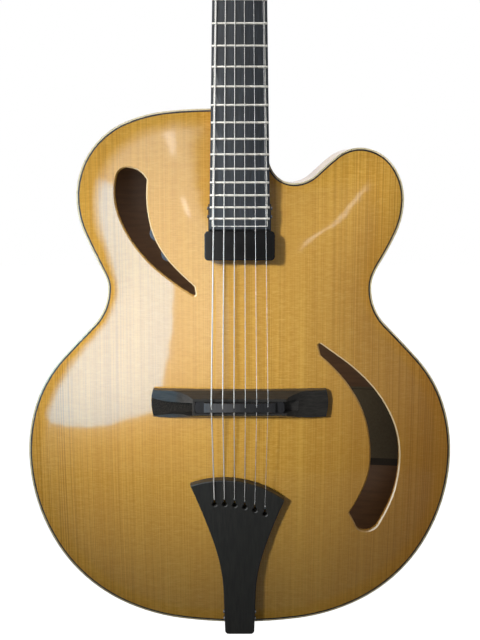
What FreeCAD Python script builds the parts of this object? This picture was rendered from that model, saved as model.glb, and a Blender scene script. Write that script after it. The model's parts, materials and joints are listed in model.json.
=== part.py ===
import FreeCAD, Part
import functools
import math
import os

V = FreeCAD.Vector

# Archtop guitar with a rounded cutaway. Sizes in millimetres.
# It stands on its tail: +Z runs up the neck, the face looks towards -Y, the treble side lies towards +X.
# The origin is the mouth of the end pin jack. A height is measured forwards from the top plate's glue plane.

# Body outline: the lower bout is measured from the tail edge, all above it from the neck joint
BODY_LENGTH = 535.7
LOWER_WIDTH = 435.4
WAIST_WIDTH = 263.0
UPPER_WIDTH = 320.6
HORN_WIDTH = 322.8
LOWER_FROM_TAIL = 186.5
WAIST_FROM_JOINT = 173.8
UPPER_FROM_JOINT = 86.1
HORN_FROM_JOINT = 88.3
HORN_TOP = (121.2, 37.2)
CUTAWAY_DIP = (53.1, 71.1)
CUTAWAY_RISE = 27.5
NECK_FLAT = 55.5

# Shell
RIM_DEPTH = 70.0
RIM_THICK = 3.0
PLATE_EDGE = 5.0
PLATE_CENTRE = 6.0
TOP_ARCH = 17.0
BACK_ARCH = 16.0
ARCH_REACH = 70.0
BINDING = 1.5
PURFLING = 1.5
PURFLING_DEPTH = 2.0
LINING_WIDE = 6.0
LINING_TALL = 14.0
TAIL_BLOCK_WIDE = 76.0
TAIL_BLOCK_THICK = 22.0
NECK_BLOCK_WIDE = 84.0
NECK_BLOCK_THICK = 42.0
TONE_BAR_WIDE = 9.0
TONE_BAR_TALL = 14.0
TONE_BAR_LONG = 330.0
TONE_BAR_SPREAD = 76.0
HOLE_BEVEL = 1.4
HOLE_CORNER = 1.5
LABEL_WIDE = 58.0
LABEL_TALL = 91.0
LABEL_THICK = 0.3
LABEL_IN = 11.6
LABEL_DOWN = 13.0
GLUE = 0.1

# Strings and fret line
SCALE = 647.7
SADDLE_FROM_TAIL = 250.1
FRET_LINE_HEIGHT = 41.5
NECK_TILT = 3.9
STRING_DIAMETERS = (1.32, 1.07, 0.81, 0.61, 0.43, 0.33)
SPACING_SADDLE = 11.08
SPACING_NUT = 7.1
ACTION_SADDLE = 4.5
ACTION_NUT = 0.8
BALL = 4.0
STRING_ROOM = 0.06

# Neck
BOARD_NUT_WIDE = 43.0
BOARD_END_WIDE = 58.6
BOARD_END = 171.8
BOARD_THICK = 6.5
BOARD_RADIUS = 305.0
INLAY_INSET = 2.4
INLAY_WIDE = 0.8
INLAY_DEEP = 1.0
FRETS = 22
FRET_WIDE = 2.2
FRET_TALL = 1.1
TANG_WIDE = 0.6
TANG_DEEP = 1.6
NUT_THICK = 5.0
NECK_DEPTH_NUT = 14.4
NECK_DEPTH_JOINT = 17.0
HEEL_TOP = 8.0
HEEL_WIDE = 53.0
HEEL_TIP_WIDE = 30.0
HEEL_TIP_LONG = 24.0
HEEL_CAP = 3.0
TENON_WIDE = 24.0
TENON_LONG = 30.0
TENON_DEEP = 52.0
TONGUE_THICK = 8.0
TONGUE_INSET = 2.5
TONGUE_ROOM = 1.2
ROD_WIDE = 6.0
ROD_DEEP = 10.5
ROD_FROM_JOINT = 9.4
ROD_STUD = 4.0
ROD_NUT = 7.0
ROD_NUT_LONG = 10.0

# Headstock and tuners
HEAD_TILT = 13.0
HEAD_THICK = 14.0
HEAD_LONG = 165.0
HEAD_WIDE = 70.0
HEAD_TOP_WIDE = 46.0
HEAD_FLARE = 34.0
HEAD_ROOT = 14.0
HEAD_CREST = 8.0
POST_EDGE = 13.5
HOUSING_TAB = 5.0
OVERLAY = 2.0
COVER_WIDE = 22.0
COVER_LONG = 30.0
COVER_THICK = 2.0
POST_FIRST = 46.0
POST_STEP = 40.0
POST = 6.0
POST_PROUD = 11.0
BUSHING = 8.0
BUSHING_FLANGE = 10.0
BUSHING_THICK = 1.5
GEAR = 10.0
GEAR_TALL = 3.0
WORM = 5.0
WORM_LONG = 7.0
SHAFT = 3.6
HOUSING_WALL = 1.6
HOUSING_DEEP = 9.0
BUTTON_LONG = 19.0
BUTTON_WIDE = 15.0
BUTTON_THICK = 8.0
BUTTON_GAP = 5.0
RUNNING = 0.05
WIND_TURNS = 2
WIND_ROOM = 0.3
WIND_GAP = 0.5
WIND_HEIGHT = 8.5
STRING_BEND = 4.0
EDGE_BEND = 1.5

# Bridge
BRIDGE_LONG = 177.0
BRIDGE_NORTH = 11.5
BRIDGE_SOUTH = 16.1
BRIDGE_WING = 28.0
BRIDGE_END = 25.0
BRIDGE_TALL = 40.5
BRIDGE_TOP_HALF = 46.0
BRIDGE_SWEEP = 24.0
BRIDGE_SWEEP_WAYS = (6.0, 48.0)
BRIDGE_TOP_NORTH = 6.0
BRIDGE_TOP_SOUTH = 11.0
BRIDGE_BULGE = 2.0
SADDLE_LONG = 88.0
SADDLE_WIDE = 11.4
SADDLE_RIDGE = 2.6
SADDLE_SET_BACK = 2.5
SADDLE_SEAT = 29.5
SADDLE_RIDGE_LONG = 70.0
SADDLE_CORNER = 3.0
MORTISE_SPARE = 14.0
MORTISE_ROOM = 0.3
MORTISE_CORNER = 2.0
# Flat cut into the bass wing: its height, and its edges as (x, distance above the saddle line)
SHELF_HEIGHT = 23.0
SHELF_NORTH = ((-90.0, 4.0), (-70.0, 0.0), (-46.4, 1.8))
SHELF_SOUTH = ((-90.0, -16.6), (-68.0, -12.6), (-46.4, -12.3))

# Tailpiece
TAILPIECE_THICK = 8.5
TAILPIECE_TILT = 4.8
TAILPIECE_END_HEIGHT = 18.5
TAILPIECE_OVERHANG = 7.0
TAILPIECE_STEM = 31.0
TAILPIECE_LEFT_TIP = (-50.0, 171.0)
TAILPIECE_CREST = (-12.0, 177.0)
TAILPIECE_RIGHT_TIP = (45.5, 155.0)
TAILPIECE_LEFT_WAY = 293.0
TAILPIECE_RIGHT_WAY = 247.0
TAILPIECE_FLARE = 1.0
TAILPIECE_STEM_TOP = 40.0
TAILPIECE_CORNER = 4.0
TAILPIECE_ROUND = 1.0
KEYHOLE = 4.6
KEYHOLE_LINE = (150.8, 140.0)
KEYHOLE_BOW = 3.4
KEYHOLE_SPACING = 10.24
KEYHOLE_SLOT = 7.5
KEYHOLE_SLOT_WIDE = 1.9
KEYHOLE_SINK = 0.8
KEYHOLE_BREAK = 0.8
KEYHOLE_LIFT = 0.6
BALL_RISE = 4.2
BALL_ROOM = 0.3
BRACKET_THICK = 2.0
BRACKET_WIDE = 24.0
BRACKET_LONG = 44.0
SIDE_SCREWS = (10.0, 18.0)
SIDE_SCREW_HEAD = 4.0
SIDE_SCREW_SHANK = 2.2
SIDE_SCREW_LONG = 7.0
SIDE_SCREW_PROUD = 1.1

# Pickup
PICKUP_WIDE = 68.0
PICKUP_LONG = 28.3
PICKUP_CORNER = 4.0
PICKUP_GAP = 1.8
PICKUP_DROP = 0.8
PICKUP_TALL = 11.0
PICKUP_WALL = 0.8
PICKUP_BASE = 1.2
COIL_WIDE = 58.0
COIL_LONG = 10.0
COIL_TALL = 8.0
ARM_THICK = 0.8
ARM_LONG = 24.0
ARM_SCREWS = (12.0, 20.0)
ARM_SCREW_HEAD = 3.2
ARM_SCREW_SHANK = 1.6
ARM_SCREW_LONG = 6.0
ARM_SCREW_PROUD = 1.1

# Controls below the upper sound hole's edge, places taken from the middle line and the neck joint
WHEELS = ((-81.1, 120.2), (-70.0, 140.2))
WHEEL_RADIUS = 8.0
WHEEL_THICK = 3.5
WHEEL_HEIGHT = 1.2
WHEEL_SHAFT = 4.0
POT = 15.0
POT_TALL = 7.0
POT_GAP = 0.5
CONTROL_BOARD = 1.6
CONTROL_PILLAR = 7.0
CONTROL_PILLAR_OUT = 15.0
CONTROL_SHIFT = 6.0

# End pin jack and strap button
JACK_REACH = 16.0
JACK_BORE = 6.5
JACK_BORE_DEEP = 32.0
JACK_BARREL = 10.5
JACK_FLANGE = 17.0
JACK_FLANGE_THICK = 4.0
JACK_NECK = 12.0
JACK_NUT_FLATS = 14.0
JACK_NUT_THICK = 4.0
STRAP_BUTTON = 13.0
STRAP_BUTTON_NECK = 8.0
STRAP_BUTTON_TALL = 12.0
STRAP_SCREW = 3.5
STRAP_SCREW_LONG = 22.0
HEAD_SCREW_HEAD = 3.6
HEAD_SCREW_SHANK = 1.8
HEAD_SCREW_LONG = 6.0
HEAD_SCREW_PROUD = 0.8

# Sound holes: (x, distance, heading in degrees), each list along one edge
# The upper hole is measured from the neck joint and the lower one from the tail edge
UPPER_HOLE_OUTER = (
    (-43.2, 182.0, 149.5), (-104.8, 129.6, 124.6), (-122.3, 79.7, 90.0),
    (-109.7, 56.2, 0.0), (-90.5, 68.0, 295.0),
)
UPPER_HOLE_INNER = (
    (-90.5, 68.0, 265.0), (-91.4, 83.7, 270.0), (-80.2, 131.9, 299.0), (-44.6, 171.9, 319.0),
)
LOWER_HOLE_OUTER = (
    (77.7, 308.3, 325.0), (131.8, 263.9, 312.0), (164.0, 186.1, 270.0),
    (152.2, 129.2, 245.0), (131.7, 105.7, 180.0), (113.6, 127.4, 120.6),
)
LOWER_HOLE_INNER = (
    (113.6, 127.4, 58.0), (134.2, 186.1, 90.0), (118.7, 250.0, 119.4), (81.1, 294.4, 139.4),
)

# Grid of the arching
GRID = 7.0
GRID_STEP = 2
RELAX_ROUNDS = 260
RELAX_GAIN = 1.9
EDGE_FLAT = 0.04
HOLLOW_FLAT = 0.15
CROWN_SHARE = 0.7
HOLLOW_INSET = 13.0
HOLLOW_STEP = 0.8

# Worked-out places
FACE_Y = -RIM_DEPTH / 2
BACK_Y = RIM_DEPTH / 2
TAIL_Z = JACK_REACH
SADDLE_Z = TAIL_Z + SADDLE_FROM_TAIL
JOINT_Z = TAIL_Z + BODY_LENGTH
BOARD_FACE = FRET_TALL
BOARD_BACK = FRET_TALL + BOARD_THICK
NUT_END = SCALE + NUT_THICK
ROD_AXIS = BOARD_BACK + ROD_DEEP * 0.62
JOINT_ON_NECK = (JOINT_Z - SADDLE_Z) / math.cos(math.radians(NECK_TILT))
REACH = 200.0


# Small helpers

def box(x0, x1, y0, y1, z0, z1):
    return Part.makeBox(x1 - x0, y1 - y0, z1 - z0, V(x0, y0, z0))


def rod(start, end, radius):
    return Part.makeCylinder(radius, (end - start).Length, start, end - start)


def heading(degrees):
    return V(math.cos(math.radians(degrees)), 0, math.sin(math.radians(degrees)))


def tangent_arc(start, direction, end):
    """Edge from start to end that leaves along direction."""
    chord = end - start
    half = chord.Length / 2
    unit = chord * (1 / chord.Length)
    side = direction - unit * direction.dot(unit)
    if side.Length < 1e-6:
        return Part.LineSegment(start, end).toShape()
    angle = math.atan2(side.Length, direction.dot(unit))
    middle = start + unit * half + side * (half * math.tan(angle / 2) / side.Length)
    return Part.Arc(start, middle, end).toShape()


def biarc(start, start_way, end, end_way):
    """Two arcs, tangent to each other, between two points with given directions."""
    chord = end - start
    both = start_way + end_way
    a = both.dot(both) - 4
    b = -2 * chord.dot(both)
    c = chord.dot(chord)
    reach = -c / b if abs(a) < 1e-9 else (-b - math.sqrt(b * b - 4 * a * c)) / (2 * a)
    middle = (start + start_way * reach + end - end_way * reach) * 0.5
    second = tangent_arc(end, end_way * -1, middle)
    return [tangent_arc(start, start_way, middle), second]


def chain(nodes):
    """Smooth run of arcs through (x, z, heading) nodes, in the plane y = 0."""
    edges = []
    for (x0, z0, way0), (x1, z1, way1) in zip(nodes, nodes[1:]):
        edges += biarc(V(x0, 0, z0), heading(way0), V(x1, 0, z1), heading(way1))
    return edges


def line(x0, z0, x1, z1):
    return Part.LineSegment(V(x0, 0, z0), V(x1, 0, z1)).toShape()


def wire_of(edges):
    return Part.Wire(Part.__sortEdges__(edges))


def polygon(points):
    return Part.makePolygon(points + points[:1])


def slab(wire, y0, y1):
    """Solid between two planes y0 < y1 from a closed wire drawn in the plane y = 0."""
    face = Part.Face(wire)
    face.translate(V(0, y0, 0))
    return face.extrude(V(0, y1 - y0, 0))


def inset(wire, distance):
    return wire if distance == 0 else wire.makeOffset2D(-distance)


def ring(wire, outer, inner, y0, y1):
    return slab(inset(wire, outer), y0, y1).cut(slab(inset(wire, inner), y0, y1))


def stadium(x, z, wide, tall, corner):
    """Rounded rectangle wire around (x, z)."""
    a = wide / 2
    b = tall / 2
    plate = box(x - a, x + a, 0, 1, z - b, z + b)
    posts = [e for e in plate.Edges if abs(e.Vertexes[0].Y - e.Vertexes[1].Y) > 0.5]
    rounded = plate.makeFillet(corner, posts)
    return [f for f in rounded.Faces if f.CenterOfMass.y < 1e-6][0].OuterWire


def turned(angle, x, y, z):
    """Placement: a turn about the X axis, then a move."""
    return FreeCAD.Placement(V(x, y, z), FreeCAD.Rotation(V(1, 0, 0), angle))


# The neck's frame has the fret line at y = 0 and the saddle at z = 0
NECK = turned(-NECK_TILT, 0, FACE_Y - FRET_LINE_HEIGHT, SADDLE_Z)
# The headstock's frame has its wooden face at y = 0 and the nut's far end at z = 0
HEAD = NECK.multiply(turned(-HEAD_TILT, 0, BOARD_BACK, NUT_END))
# The tailpiece's frame has its front face at y = 0 and its free end at z = 0
TAIL = turned(TAILPIECE_TILT, 0, FACE_Y - TAILPIECE_END_HEIGHT, TAIL_Z - TAILPIECE_OVERHANG)


def placed(shape, frame):
    moved = shape.copy()
    moved.Placement = frame.multiply(moved.Placement)
    return moved


# Body outline

def between(a, b, share_x, share_z, way):
    return (a[0] + (b[0] - a[0]) * share_x, a[1] + (b[1] - a[1]) * share_z, way)


def body_outline():
    lower = (LOWER_WIDTH / 2, LOWER_FROM_TAIL, 90)
    waist = (WAIST_WIDTH / 2, BODY_LENGTH - WAIST_FROM_JOINT, 90)
    upper = (UPPER_WIDTH / 2, BODY_LENGTH - UPPER_FROM_JOINT, 90)
    horn = (HORN_WIDTH / 2, BODY_LENGTH - HORN_FROM_JOINT, 90)
    crest = (HORN_TOP[0], BODY_LENGTH - HORN_TOP[1])
    dip = (CUTAWAY_DIP[0], BODY_LENGTH - CUTAWAY_DIP[1])
    wall = dip[1] + CUTAWAY_RISE
    flat = NECK_FLAT / 2
    tail = (0, 0, 0)
    shoulder = (flat, BODY_LENGTH, 180)
    lower_half = [
        tail,
        between(tail, lower, 0.55, 0.115, 25.5),
        lower,
        between(lower, waist, 0.445, 0.59, 132.8),
        waist,
    ]
    treble = lower_half + [
        between(waist, horn, 0.268, 0.282, 59.5),
        horn,
        crest + (172.8,),
        between(crest, dip, 0.401, 0.248, 219.6),
        dip + (180,),
        (flat, wall, 90),
    ]
    bass = lower_half + [
        between(waist, upper, 0.212, 0.212, 64.3),
        upper,
        between(upper, shoulder, 0.367, 0.85, 156.9),
        shoulder,
    ]
    bass = [(-x, z, 360 - way) for x, z, way in reversed(bass)]
    edges = chain(treble) + chain(bass)
    edges.append(line(flat, wall, flat, BODY_LENGTH))
    edges.append(line(flat, BODY_LENGTH, -flat, BODY_LENGTH))
    wire = wire_of(edges)
    wire.translate(V(0, 0, TAIL_Z))
    return wire


def from_joint(nodes):
    return [(x, BODY_LENGTH - z, way) for x, z, way in nodes]


def sound_hole(outer, inner):
    """Block as wide as a sound hole, through the whole body, with its three sharp corners rounded."""
    edges = chain(outer) + chain(inner)
    edges.append(line(inner[-1][0], inner[-1][1], outer[0][0], outer[0][1]))
    block = slab(wire_of(edges), FACE_Y - REACH, BACK_Y)
    upright = [edge for edge in block.Edges if edge.BoundBox.YLength > RIM_DEPTH]
    corners = [
        edge for edge in upright for x, z, _ in (outer[0], outer[-1], inner[-1])
        if edge.BoundBox.Center.distanceToLine(V(x, 0, z), V(0, 1, 0)) < 0.01
    ]
    block = block.makeFillet(HOLE_CORNER, corners)
    block.translate(V(0, 0, TAIL_Z))
    return block


# Arching: a sheet stretched over the outline and pushed up, solved on a grid

def crossings(corners, z):
    """Sorted x values where the outline crosses a level."""
    found = []
    for p, q in zip(corners, corners[1:] + corners[:1]):
        if (p.z > z) != (q.z > z):
            found.append(p.x + (q.x - p.x) * (z - p.z) / (q.z - p.z))
    return sorted(found)


def sheet(outline):
    """Rise of the stretched sheet, 0 at the edge and 1 at the crown, on a square grid."""
    limits = outline.BoundBox
    columns = 2 * math.ceil((max(-limits.XMin, limits.XMax) + GRID) / GRID / 2)
    rows = 2 * math.ceil((limits.ZLength + 2 * GRID) / GRID / 2)
    xs = [GRID * (i - columns) for i in range(2 * columns + 1)]
    zs = [limits.ZMin - GRID + GRID * j for j in range(rows + 1)]
    corners = outline.discretize(600)
    inside = []
    for j, z in enumerate(zs):
        spans = crossings(corners, z)
        for x0, x1 in zip(spans[::2], spans[1::2]):
            inside += [(i, j) for i, x in enumerate(xs) if x0 < x < x1]
    rise = [[0.0] * len(zs) for _ in xs]
    spring = 4 + (GRID / ARCH_REACH) ** 2
    for _ in range(RELAX_ROUNDS):
        for i, j in inside:
            pull = rise[i - 1][j] + rise[i + 1][j] + rise[i][j - 1] + rise[i][j + 1] + 1
            rise[i][j] += RELAX_GAIN * (pull / spring - rise[i][j])
    crown = max(max(column) for column in rise)
    rise = [[value / crown for value in column] for column in rise]
    return xs, zs, rise


def arch_profile(rise, flat):
    """Height share for a sheet rise: flat at the edge, hollow above it, round at the crown."""
    share = max(0.0, (rise - flat) / (1 - flat))
    cycloid = (1 + math.cos(math.pi * math.sqrt(1 - share))) / 2
    wave = (1 - math.cos(math.pi * share)) / 2
    return CROWN_SHARE * cycloid + (1 - CROWN_SHARE) * wave


def arched_block(grid, side, edge, arch, flat):
    """Everything behind an arched surface; side is -1 for the top and +1 for the back."""
    xs, zs, rise = grid
    points = []
    for i in range(0, len(xs), GRID_STEP):
        column = []
        for j in range(0, len(zs), GRID_STEP):
            height = edge + arch * arch_profile(rise[i][j], flat)
            column.append(V(xs[i], side * (RIM_DEPTH / 2 + height), zs[j]))
        points.append(column)
    surface = Part.BSplineSurface()
    surface.interpolate(points)
    solid = surface.toShape().extrude(V(0, -side * REACH, 0))
    return solid


def outer_arch(grid, side, arch, extra=0.0):
    return arched_block(grid, side, PLATE_EDGE + extra, arch, EDGE_FLAT)


def inner_arch(grid, side, arch, extra=0.0):
    rise = arch + PLATE_EDGE - PLATE_CENTRE - HOLLOW_STEP
    return arched_block(grid, side, HOLLOW_STEP + extra, rise, HOLLOW_FLAT)


# Shell

def carved_plate(outline, grid, side, arch):
    far = side * REACH
    low, high = sorted((side * RIM_DEPTH / 2, far))
    blank = slab(inset(outline, BINDING), low, high).common(outer_arch(grid, side, arch))
    low, high = sorted((0, far))
    hollow = slab(inset(outline, HOLLOW_INSET), low, high).common(inner_arch(grid, side, arch))
    return blank.cut(hollow)


def purfling_ring(outline):
    face = FACE_Y - PLATE_EDGE
    return ring(outline, BINDING, BINDING + PURFLING, face, face + PURFLING_DEPTH)


def top_plate(outline, grid, holes):
    plate = carved_plate(outline, grid, -1, TOP_ARCH)
    face = FACE_Y - PLATE_EDGE
    plate = plate.cut(ring(outline, BINDING, BINDING + PURFLING, face - REACH, face + PURFLING_DEPTH))
    for hole in holes:
        plate = plate.cut(hole)
    carved = max(plate.Faces, key=lambda side: -side.CenterOfMass.y * side.Area)
    rounds = [edge for wire in carved.Wires if not wire.isSame(carved.OuterWire) for edge in wire.Edges]
    return plate.makeChamfer(HOLE_BEVEL, rounds)


def rims(outline):
    hoop = ring(outline, 0, RIM_THICK, FACE_Y, BACK_Y)
    hoop = hoop.cut(tenon()).cut(jack_hole())
    top = JOINT_Z + REACH
    bass = hoop.common(box(-REACH * 2, 0, FACE_Y, BACK_Y, 0, top))
    treble = hoop.common(box(0, REACH * 2, FACE_Y, BACK_Y, 0, top))
    return bass, treble


def tail_block(outline):
    half = TAIL_BLOCK_WIDE / 2
    top = TAIL_Z + RIM_THICK + TAIL_BLOCK_THICK
    room = slab(inset(outline, RIM_THICK), FACE_Y, BACK_Y)
    return box(-half, half, FACE_Y, BACK_Y, TAIL_Z, top).common(room).cut(jack_hole())


def neck_block_box():
    inner = NECK_FLAT / 2 - RIM_THICK
    top = JOINT_Z - RIM_THICK
    return box(inner - NECK_BLOCK_WIDE, inner, FACE_Y, BACK_Y, top - NECK_BLOCK_THICK, top)


def neck_block(outline):
    room = slab(inset(outline, RIM_THICK), FACE_Y, BACK_Y)
    return neck_block_box().common(room).cut(tenon())


def lining(outline, y0, y1):
    half = TAIL_BLOCK_WIDE / 2
    strip = ring(outline, RIM_THICK, RIM_THICK + LINING_WIDE, y0, y1)
    strip = strip.cut(box(-half, half, y0, y1, 0, TAIL_Z + RIM_THICK + TAIL_BLOCK_THICK))
    return strip.cut(neck_block_box())


def tone_bars(grid):
    under = inner_arch(grid, -1, TOP_ARCH)
    below = under.copy()
    below.translate(V(0, TONE_BAR_TALL, 0))
    middle = SADDLE_Z
    bars = []
    for side in (-1, 1):
        x = side * TONE_BAR_SPREAD / 2
        blank = box(
            x - TONE_BAR_WIDE / 2, x + TONE_BAR_WIDE / 2, FACE_Y - REACH / 2, BACK_Y,
            middle - TONE_BAR_LONG / 2, middle + TONE_BAR_LONG / 2,
        )
        bars.append(blank.common(under).cut(below))
    return Part.makeCompound(bars)


def label(grid, hole):
    """Paper sheet on the back plate's inner face, behind the lower sound hole."""
    limits = hole.BoundBox
    x = limits.XMax - LABEL_IN
    z = limits.Center.z - LABEL_DOWN
    inner = inner_arch(grid, 1, BACK_ARCH, -GLUE)
    lifted = inner_arch(grid, 1, BACK_ARCH, -GLUE - LABEL_THICK)
    sheet_box = box(
        x - LABEL_WIDE / 2, x + LABEL_WIDE / 2, 0, BACK_Y + REACH / 2,
        z - LABEL_TALL / 2, z + LABEL_TALL / 2,
    )
    return sheet_box.common(inner).cut(lifted)


# Neck

def half_width(z):
    """Half the fingerboard's width at a distance from the saddle."""
    share = (z - BOARD_END) / (SCALE - BOARD_END)
    return (BOARD_END_WIDE + (BOARD_NUT_WIDE - BOARD_END_WIDE) * share) / 2


def taper_slab(z0, z1, edge, y0, y1):
    """Slab as wide as the fingerboard less an edge on each side."""
    a = half_width(z0) - edge
    b = half_width(z1) - edge
    return slab(polygon([V(-a, 0, z0), V(a, 0, z0), V(b, 0, z1), V(-b, 0, z1)]), y0, y1)


def crown_cylinder(rise, z0, z1):
    """Cylinder whose front is the fingerboard's crown, raised by rise."""
    centre = V(0, BOARD_FACE + BOARD_RADIUS, z0)
    return Part.makeCylinder(BOARD_RADIUS + rise, z1 - z0, centre, V(0, 0, 1))


def board_blank():
    blank = taper_slab(BOARD_END, SCALE, 0, BOARD_FACE - 1, BOARD_BACK)
    return blank.common(crown_cylinder(0, BOARD_END - 1, SCALE + 1))


def inlay_room():
    side_drop = (BOARD_END_WIDE / 2) ** 2 / (2 * BOARD_RADIUS)
    floor = BOARD_FACE + side_drop + INLAY_DEEP
    outer = taper_slab(BOARD_END + INLAY_INSET, SCALE, INLAY_INSET, BOARD_FACE - 1, floor)
    edge = INLAY_INSET + INLAY_WIDE
    return outer.cut(taper_slab(BOARD_END + edge, SCALE, edge, BOARD_FACE - 1, floor))


def fret_places():
    return [SCALE * 2 ** (-n / 12) for n in range(1, FRETS + 1)]


def tang(z):
    half = half_width(z) - INLAY_INSET - INLAY_WIDE - TANG_WIDE
    deep = crown_cylinder(-TANG_DEEP, z - 1, z + 1)
    bar = box(-half, half, BOARD_FACE - 1, BOARD_BACK, z - TANG_WIDE / 2, z + TANG_WIDE / 2)
    return bar.common(crown_cylinder(0, z - 1, z + 1)).cut(deep)


def fret(z):
    half = half_width(z) - TANG_WIDE / 2
    z0 = z - FRET_WIDE / 2
    z1 = z + FRET_WIDE / 2
    bar = box(-half, half, BOARD_FACE - FRET_TALL - 1, BOARD_BACK, z0, z1)
    crown = bar.common(crown_cylinder(FRET_TALL, z0, z1))
    top = [e for e in crown.Edges if e.BoundBox.XLength > half and e.BoundBox.YMin < FRET_TALL / 2]
    crown = crown.makeFillet(FRET_TALL * 0.75, top)
    return crown.cut(crown_cylinder(0, z0, z1)).fuse(tang(z)).removeSplitter()


def fingerboard():
    board = board_blank().cut(inlay_room())
    board = board.cut(Part.makeCompound([tang(z) for z in fret_places()]))
    return placed(board.cut(arm_screws()), NECK)


def frets():
    return placed(Part.makeCompound([fret(z) for z in fret_places()]), NECK)


def neck_section(z, depth):
    """D-shaped wire across the neck shaft."""
    half = half_width(z)
    flat = Part.LineSegment(V(-half, BOARD_BACK, z), V(half, BOARD_BACK, z)).toShape()
    ellipse = Part.Ellipse(V(0, BOARD_BACK, z), half, depth)
    back = Part.ArcOfEllipse(ellipse, 0, math.pi).toShape()
    return Part.Wire([flat, back])


def neck_shaft():
    start = JOINT_ON_NECK - TENON_LONG / 2
    end = NUT_END + HEAD_FLARE
    slope = (NECK_DEPTH_NUT - NECK_DEPTH_JOINT) / (NUT_END - JOINT_ON_NECK)
    sections = [neck_section(z, NECK_DEPTH_JOINT + slope * (z - JOINT_ON_NECK)) for z in (start, end)]
    return placed(Part.makeLoft(sections, True, True), NECK)


def heel_section(height, wide, long):
    """U-shaped wire, flat against the body, at one height."""
    y = FACE_Y - height
    half = wide / 2
    corner = JOINT_Z + long - half
    left = V(-half, y, JOINT_Z)
    right = V(half, y, JOINT_Z)
    nose = Part.Arc(V(half, y, corner), V(0, y, corner + half), V(-half, y, corner))
    return Part.Wire([
        Part.LineSegment(left, right).toShape(),
        Part.LineSegment(right, V(half, y, corner)).toShape(),
        nose.toShape(),
        Part.LineSegment(V(-half, y, corner), left).toShape(),
    ])


def heel():
    low = HEEL_CAP - RIM_DEPTH - PLATE_EDGE
    spread = HEEL_WIDE - HEEL_TIP_WIDE
    steps = ((0.0, 1.0, 2.9), (0.2, 0.9, 1.95), (0.42, 0.62, 1.4), (1.0, 0.0, 1.0))
    high = HEEL_TOP
    sections = [
        heel_section(high + (low - high) * down, HEEL_TIP_WIDE + spread * wide, HEEL_TIP_LONG * long)
        for down, wide, long in steps
    ]
    return Part.makeLoft(sections, True, False)


def heel_cap():
    y = BACK_Y + PLATE_EDGE
    section = heel_section(-RIM_DEPTH - PLATE_EDGE, HEEL_TIP_WIDE, HEEL_TIP_LONG)
    cap = Part.Face(section).extrude(V(0, -HEEL_CAP, 0))
    return cap.cut(strap_screw(y))


@functools.cache
def tenon():
    half = TENON_WIDE / 2
    y = FACE_Y + PLATE_EDGE
    return box(-half, half, y, y + TENON_DEEP, JOINT_Z - TENON_LONG, JOINT_Z)


def head_half(z):
    """Half the headstock's width at a distance from the nut."""
    return (HEAD_WIDE + (HEAD_TOP_WIDE - HEAD_WIDE) * (z - HEAD_FLARE) / (HEAD_LONG - HEAD_FLARE)) / 2


def head_outline(root):
    """Closed wire of the headstock, with half width root at the nut."""
    lean = math.degrees(math.atan2(HEAD_LONG - HEAD_FLARE, (HEAD_TOP_WIDE - HEAD_WIDE) / 2))
    flare = [(root, 0, 60), (HEAD_WIDE / 2, HEAD_FLARE, lean)]
    mirror = [(-x, z, 360 - way) for x, z, way in reversed(flare)]
    half = HEAD_TOP_WIDE / 2
    crest = Part.Arc(V(half, 0, HEAD_LONG), V(0, 0, HEAD_LONG + HEAD_CREST), V(-half, 0, HEAD_LONG))
    edges = chain(flare) + chain(mirror)
    edges.append(line(HEAD_WIDE / 2, HEAD_FLARE, half, HEAD_LONG))
    edges.append(line(-half, HEAD_LONG, -HEAD_WIDE / 2, HEAD_FLARE))
    edges.append(crest.toShape())
    edges.append(line(-root, 0, root, 0))
    return wire_of(edges)


@functools.cache
def rod_room():
    """Pocket in the headstock where the truss rod's nut is reached."""
    half = ROD_NUT
    deep = ROD_AXIS + ROD_NUT
    return placed(box(-half, half, -REACH / 4, deep, NUT_END, NUT_END + ROD_NUT_LONG * 2.2), NECK)


@functools.cache
def bushing_holes():
    holes = [rod(V(x, -REACH, z), V(x, REACH, z), BUSHING / 2) for x, z, _ in post_places()]
    return placed(Part.makeCompound(holes), HEAD)


def neck(grid):
    wood = neck_shaft().fuse(heel())
    wood = wood.fuse(placed(slab(head_outline(HEAD_ROOT), 0, HEAD_THICK), HEAD))
    tongue = taper_slab(
        BOARD_END + PICKUP_GAP * 3, JOINT_ON_NECK + TENON_LONG, TONGUE_INSET,
        BOARD_BACK, BOARD_BACK + TONGUE_THICK,
    )
    wood = wood.fuse(placed(tongue, NECK))
    wood = wood.cut(placed(box(-REACH, REACH, -REACH, BOARD_BACK, 0, NUT_END), NECK))
    wood = wood.cut(placed(box(-REACH, REACH, -REACH, 0, 0, REACH), HEAD))
    body_room = outer_arch(grid, -1, TOP_ARCH, TONGUE_ROOM)
    wood = wood.cut(body_room.common(box(-REACH, REACH, -REACH, REACH, 0, JOINT_Z)))
    wood = wood.fuse(tenon())
    half = ROD_WIDE / 2
    channel = box(-half, half, BOARD_BACK, BOARD_BACK + ROD_DEEP, JOINT_ON_NECK + ROD_FROM_JOINT, NUT_END)
    wood = wood.cut(placed(channel, NECK)).cut(rod_room()).cut(bushing_holes())
    wood = wood.cut(headstock_screws()).cut(strap_screw(BACK_Y + PLATE_EDGE))
    return wood.removeSplitter()


def headstock_overlay():
    wood = placed(slab(head_outline(BOARD_NUT_WIDE / 2), -OVERLAY, 0), HEAD)
    return wood.cut(rod_room()).cut(bushing_holes()).cut(headstock_screws())


def truss_rod():
    half = ROD_WIDE / 2
    bar = box(-half, half, BOARD_BACK, BOARD_BACK + ROD_DEEP, JOINT_ON_NECK + ROD_FROM_JOINT, NUT_END)
    stud = rod(V(0, ROD_AXIS, SCALE), V(0, ROD_AXIS, NUT_END + ROD_NUT_LONG * 1.2), ROD_STUD / 2)
    return placed(bar.fuse(stud), NECK)


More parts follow.
